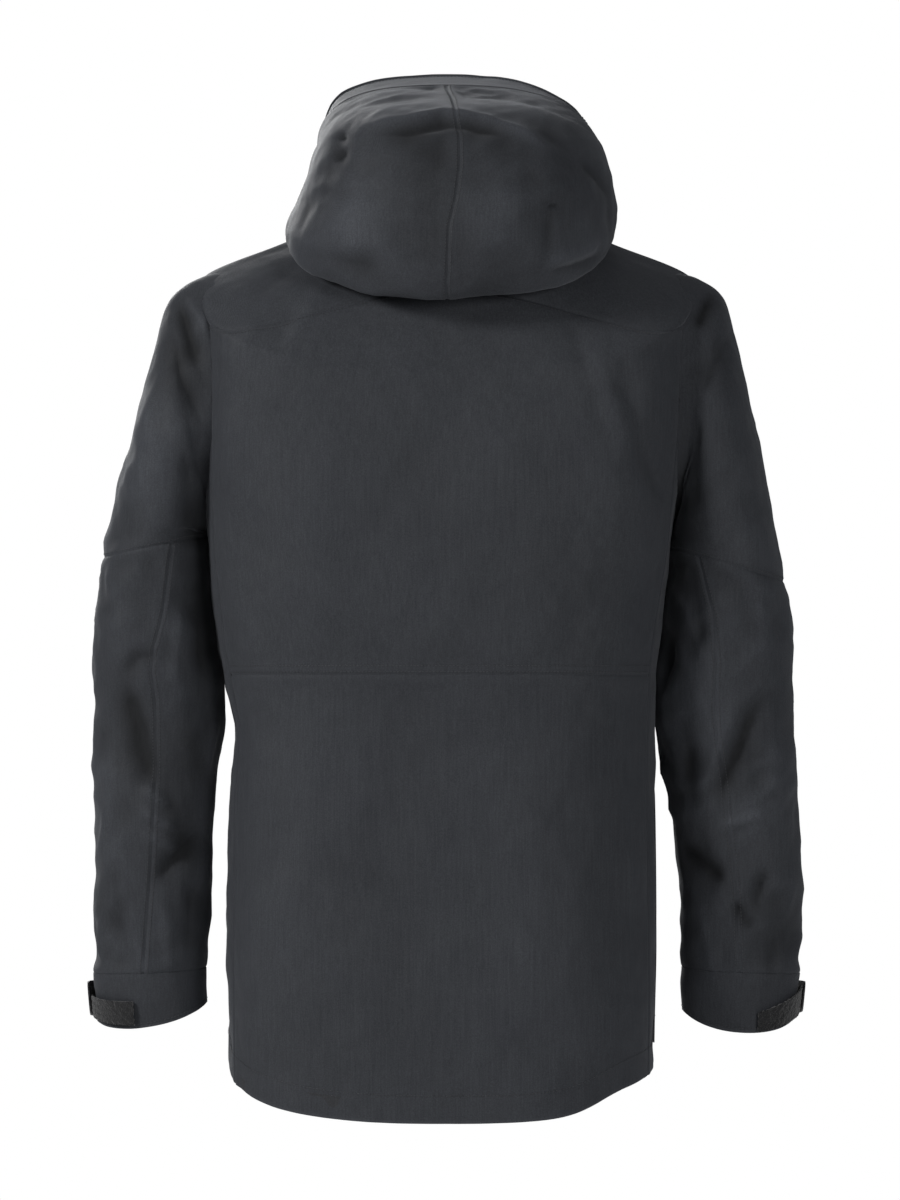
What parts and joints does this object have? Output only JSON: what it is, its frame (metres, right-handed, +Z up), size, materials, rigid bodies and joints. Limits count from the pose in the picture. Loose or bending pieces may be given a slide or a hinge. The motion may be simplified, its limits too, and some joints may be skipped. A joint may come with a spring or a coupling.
{
  "type": "hardshell jacket",
  "caption": "Hooded waterproof hardshell jacket with front zip, hand pockets, drop-tail hem, articulated sleeves and hook-and-loop cuff tabs, hanging from its neck loop.",
  "frame": {"origin": "middle of the hang loop's strap, inside the back of the neck", "axes": "+Z up, +Y out of the wearer's back, +X to the wearer's left"},
  "size_m": [0.6564, 0.3141, 0.954],
  "materials": {
    "shell_fabric": "matte three-layer laminate with a fine plain weave",
    "lining": "matte tricot-backed laminate",
    "brushed_lining": "brushed microfleece",
    "hook_and_loop": "dense black nylon loop pile",
    "webbing": "narrow woven webbing",
    "zip_tape": "water-repellent film over zip tape",
    "zip_coil": "black nylon coil",
    "zip_metal": "black enamelled zinc",
    "moulded_trim": "matte moulded trim",
    "brim_board": "flexible laminated visor board"
  },
  "bodies": {
    "torso": {"back_yoke": "shell_fabric", "back_upper_panel": "shell_fabric", "back_lower_panel": "shell_fabric", "left_side_panel": "shell_fabric", "right_side_panel": "shell_fabric", "left_front_panel": "shell_fabric", "left_front_yoke": "shell_fabric", "right_front_panel": "shell_fabric", "right_front_yoke": "shell_fabric", "hem_facing": "lining", "collar_outer": "shell_fabric", "collar_lining": "lining", "chin_guard": "brushed_lining", "hang_loop": "webbing", "neck_facing": "lining", "main_zip_tape_left": "zip_tape", "main_zip_coil_left": "zip_coil", "main_zip_tape_right": "zip_tape", "main_zip_coil_right": "zip_coil", "zip_retainer_box": "zip_metal", "inner_storm_flap": "lining", "zip_garage": "shell_fabric", "left_pocket_zip": "zip_tape", "left_pocket_bag": "lining", "right_pocket_zip": "zip_tape", "right_pocket_bag": "lining", "left_hem_cord_lock": "moulded_trim", "right_hem_cord_lock": "moulded_trim"},
    "hood": {"hood_left_panel": "shell_fabric", "hood_right_panel": "shell_fabric", "hood_brim": "shell_fabric", "brim_stiffener": "brim_board", "hood_cord_outlet_left": "moulded_trim", "hood_cord_outlet_right": "moulded_trim"},
    "main_slider": {"main_zip_slider": "zip_metal"},
    "main_pull": {"main_zip_pull": "moulded_trim"},
    "left_sleeve": {"left_upper_sleeve": "shell_fabric", "left_elbow_panel": "shell_fabric"},
    "left_forearm": {"left_forearm_outer": "shell_fabric", "left_forearm_inner": "shell_fabric", "left_cuff": "shell_fabric", "left_cuff_loop_patch": "hook_and_loop"},
    "left_tab": {"left_cuff_tab": "moulded_trim", "left_cuff_hook_patch": "hook_and_loop"},
    "left_pocket_runner": {"left_pocket_slider": "zip_metal"},
    "left_pocket_puller": {"left_pocket_pull": "moulded_trim"},
    "left_lock_button": {"left_hem_cord_lock_button": "moulded_trim"},
    "right_sleeve": {"right_upper_sleeve": "shell_fabric", "right_elbow_panel": "shell_fabric"},
    "right_forearm": {"right_forearm_outer": "shell_fabric", "right_forearm_inner": "shell_fabric", "right_cuff": "shell_fabric", "right_cuff_loop_patch": "hook_and_loop"},
    "right_tab": {"right_cuff_tab": "moulded_trim", "right_cuff_hook_patch": "hook_and_loop"},
    "right_pocket_runner": {"right_pocket_slider": "zip_metal"},
    "right_pocket_puller": {"right_pocket_pull": "moulded_trim"},
    "right_lock_button": {"right_hem_cord_lock_button": "moulded_trim"}
  },
  "joints": [
    {"name": "hood_tip", "type": "hinge", "parent": "torso", "child": "hood", "pos_m": [0, 0.075, 0.025], "axis": [-1, 0, 0], "range_deg": [0, 45]},
    {"name": "main_zip_slide", "type": "slide", "parent": "torso", "child": "main_slider", "axis": [0, -0.0704, -0.9975], "range_m": [0, 0.66]},
    {"name": "main_pull_swing", "type": "hinge", "parent": "main_slider", "child": "main_pull", "pos_m": [0, -0.16962, 0.0024], "axis": [-1, 0, 0], "range_deg": [0, 110]},
    {"name": "left_sleeve_raise", "type": "hinge", "parent": "torso", "child": "left_sleeve", "pos_m": [0.18, -0.07, -0.125], "axis": [0, -1, 0], "range_deg": [0, 25]},
    {"name": "left_elbow_bend", "type": "hinge", "parent": "left_sleeve", "child": "left_forearm", "pos_m": [0.265, -0.105, -0.36], "axis": [-1, 0, 0], "range_deg": [0, 70]},
    {"name": "left_tab_peel", "type": "hinge", "parent": "left_forearm", "child": "left_tab", "pos_m": [0.28495, -0.1444, -0.677], "axis": [0, 0, -1], "range_deg": [0, 100]},
    {"name": "left_pocket_zip_slide", "type": "slide", "parent": "torso", "child": "left_pocket_runner", "axis": [0.0995, -0.0163, -0.9949], "range_m": [0, 0.14]},
    {"name": "left_pocket_pull_swing", "type": "hinge", "parent": "left_pocket_runner", "child": "left_pocket_puller", "pos_m": [0.12706, -0.18181, -0.42266], "axis": [-0.8952, -0.438, -0.0824], "range_deg": [0, 100]},
    {"name": "left_lock_press", "type": "slide", "parent": "torso", "child": "left_lock_button", "axis": [0, 0, 1], "range_m": [0, 0.003], "stiffness_N_per_m": 300},
    {"name": "right_sleeve_raise", "type": "hinge", "parent": "torso", "child": "right_sleeve", "pos_m": [-0.18, -0.07, -0.125], "axis": [0, 1, 0], "range_deg": [0, 25]},
    {"name": "right_elbow_bend", "type": "hinge", "parent": "right_sleeve", "child": "right_forearm", "pos_m": [-0.265, -0.105, -0.36], "axis": [-1, 0, 0], "range_deg": [0, 70]},
    {"name": "right_tab_peel", "type": "hinge", "parent": "right_forearm", "child": "right_tab", "pos_m": [-0.28495, -0.1444, -0.677], "axis": [0, 0, 1], "range_deg": [0, 100]},
    {"name": "right_pocket_zip_slide", "type": "slide", "parent": "torso", "child": "right_pocket_runner", "axis": [-0.0995, -0.0163, -0.9949], "range_m": [0, 0.14]},
    {"name": "right_pocket_pull_swing", "type": "hinge", "parent": "right_pocket_runner", "child": "right_pocket_puller", "pos_m": [-0.12706, -0.18181, -0.42266], "axis": [-0.8952, 0.438, 0.0824], "range_deg": [0, 100]},
    {"name": "right_lock_press", "type": "slide", "parent": "torso", "child": "right_lock_button", "axis": [0, 0, 1], "range_m": [0, 0.003], "stiffness_N_per_m": 300}
  ]
}
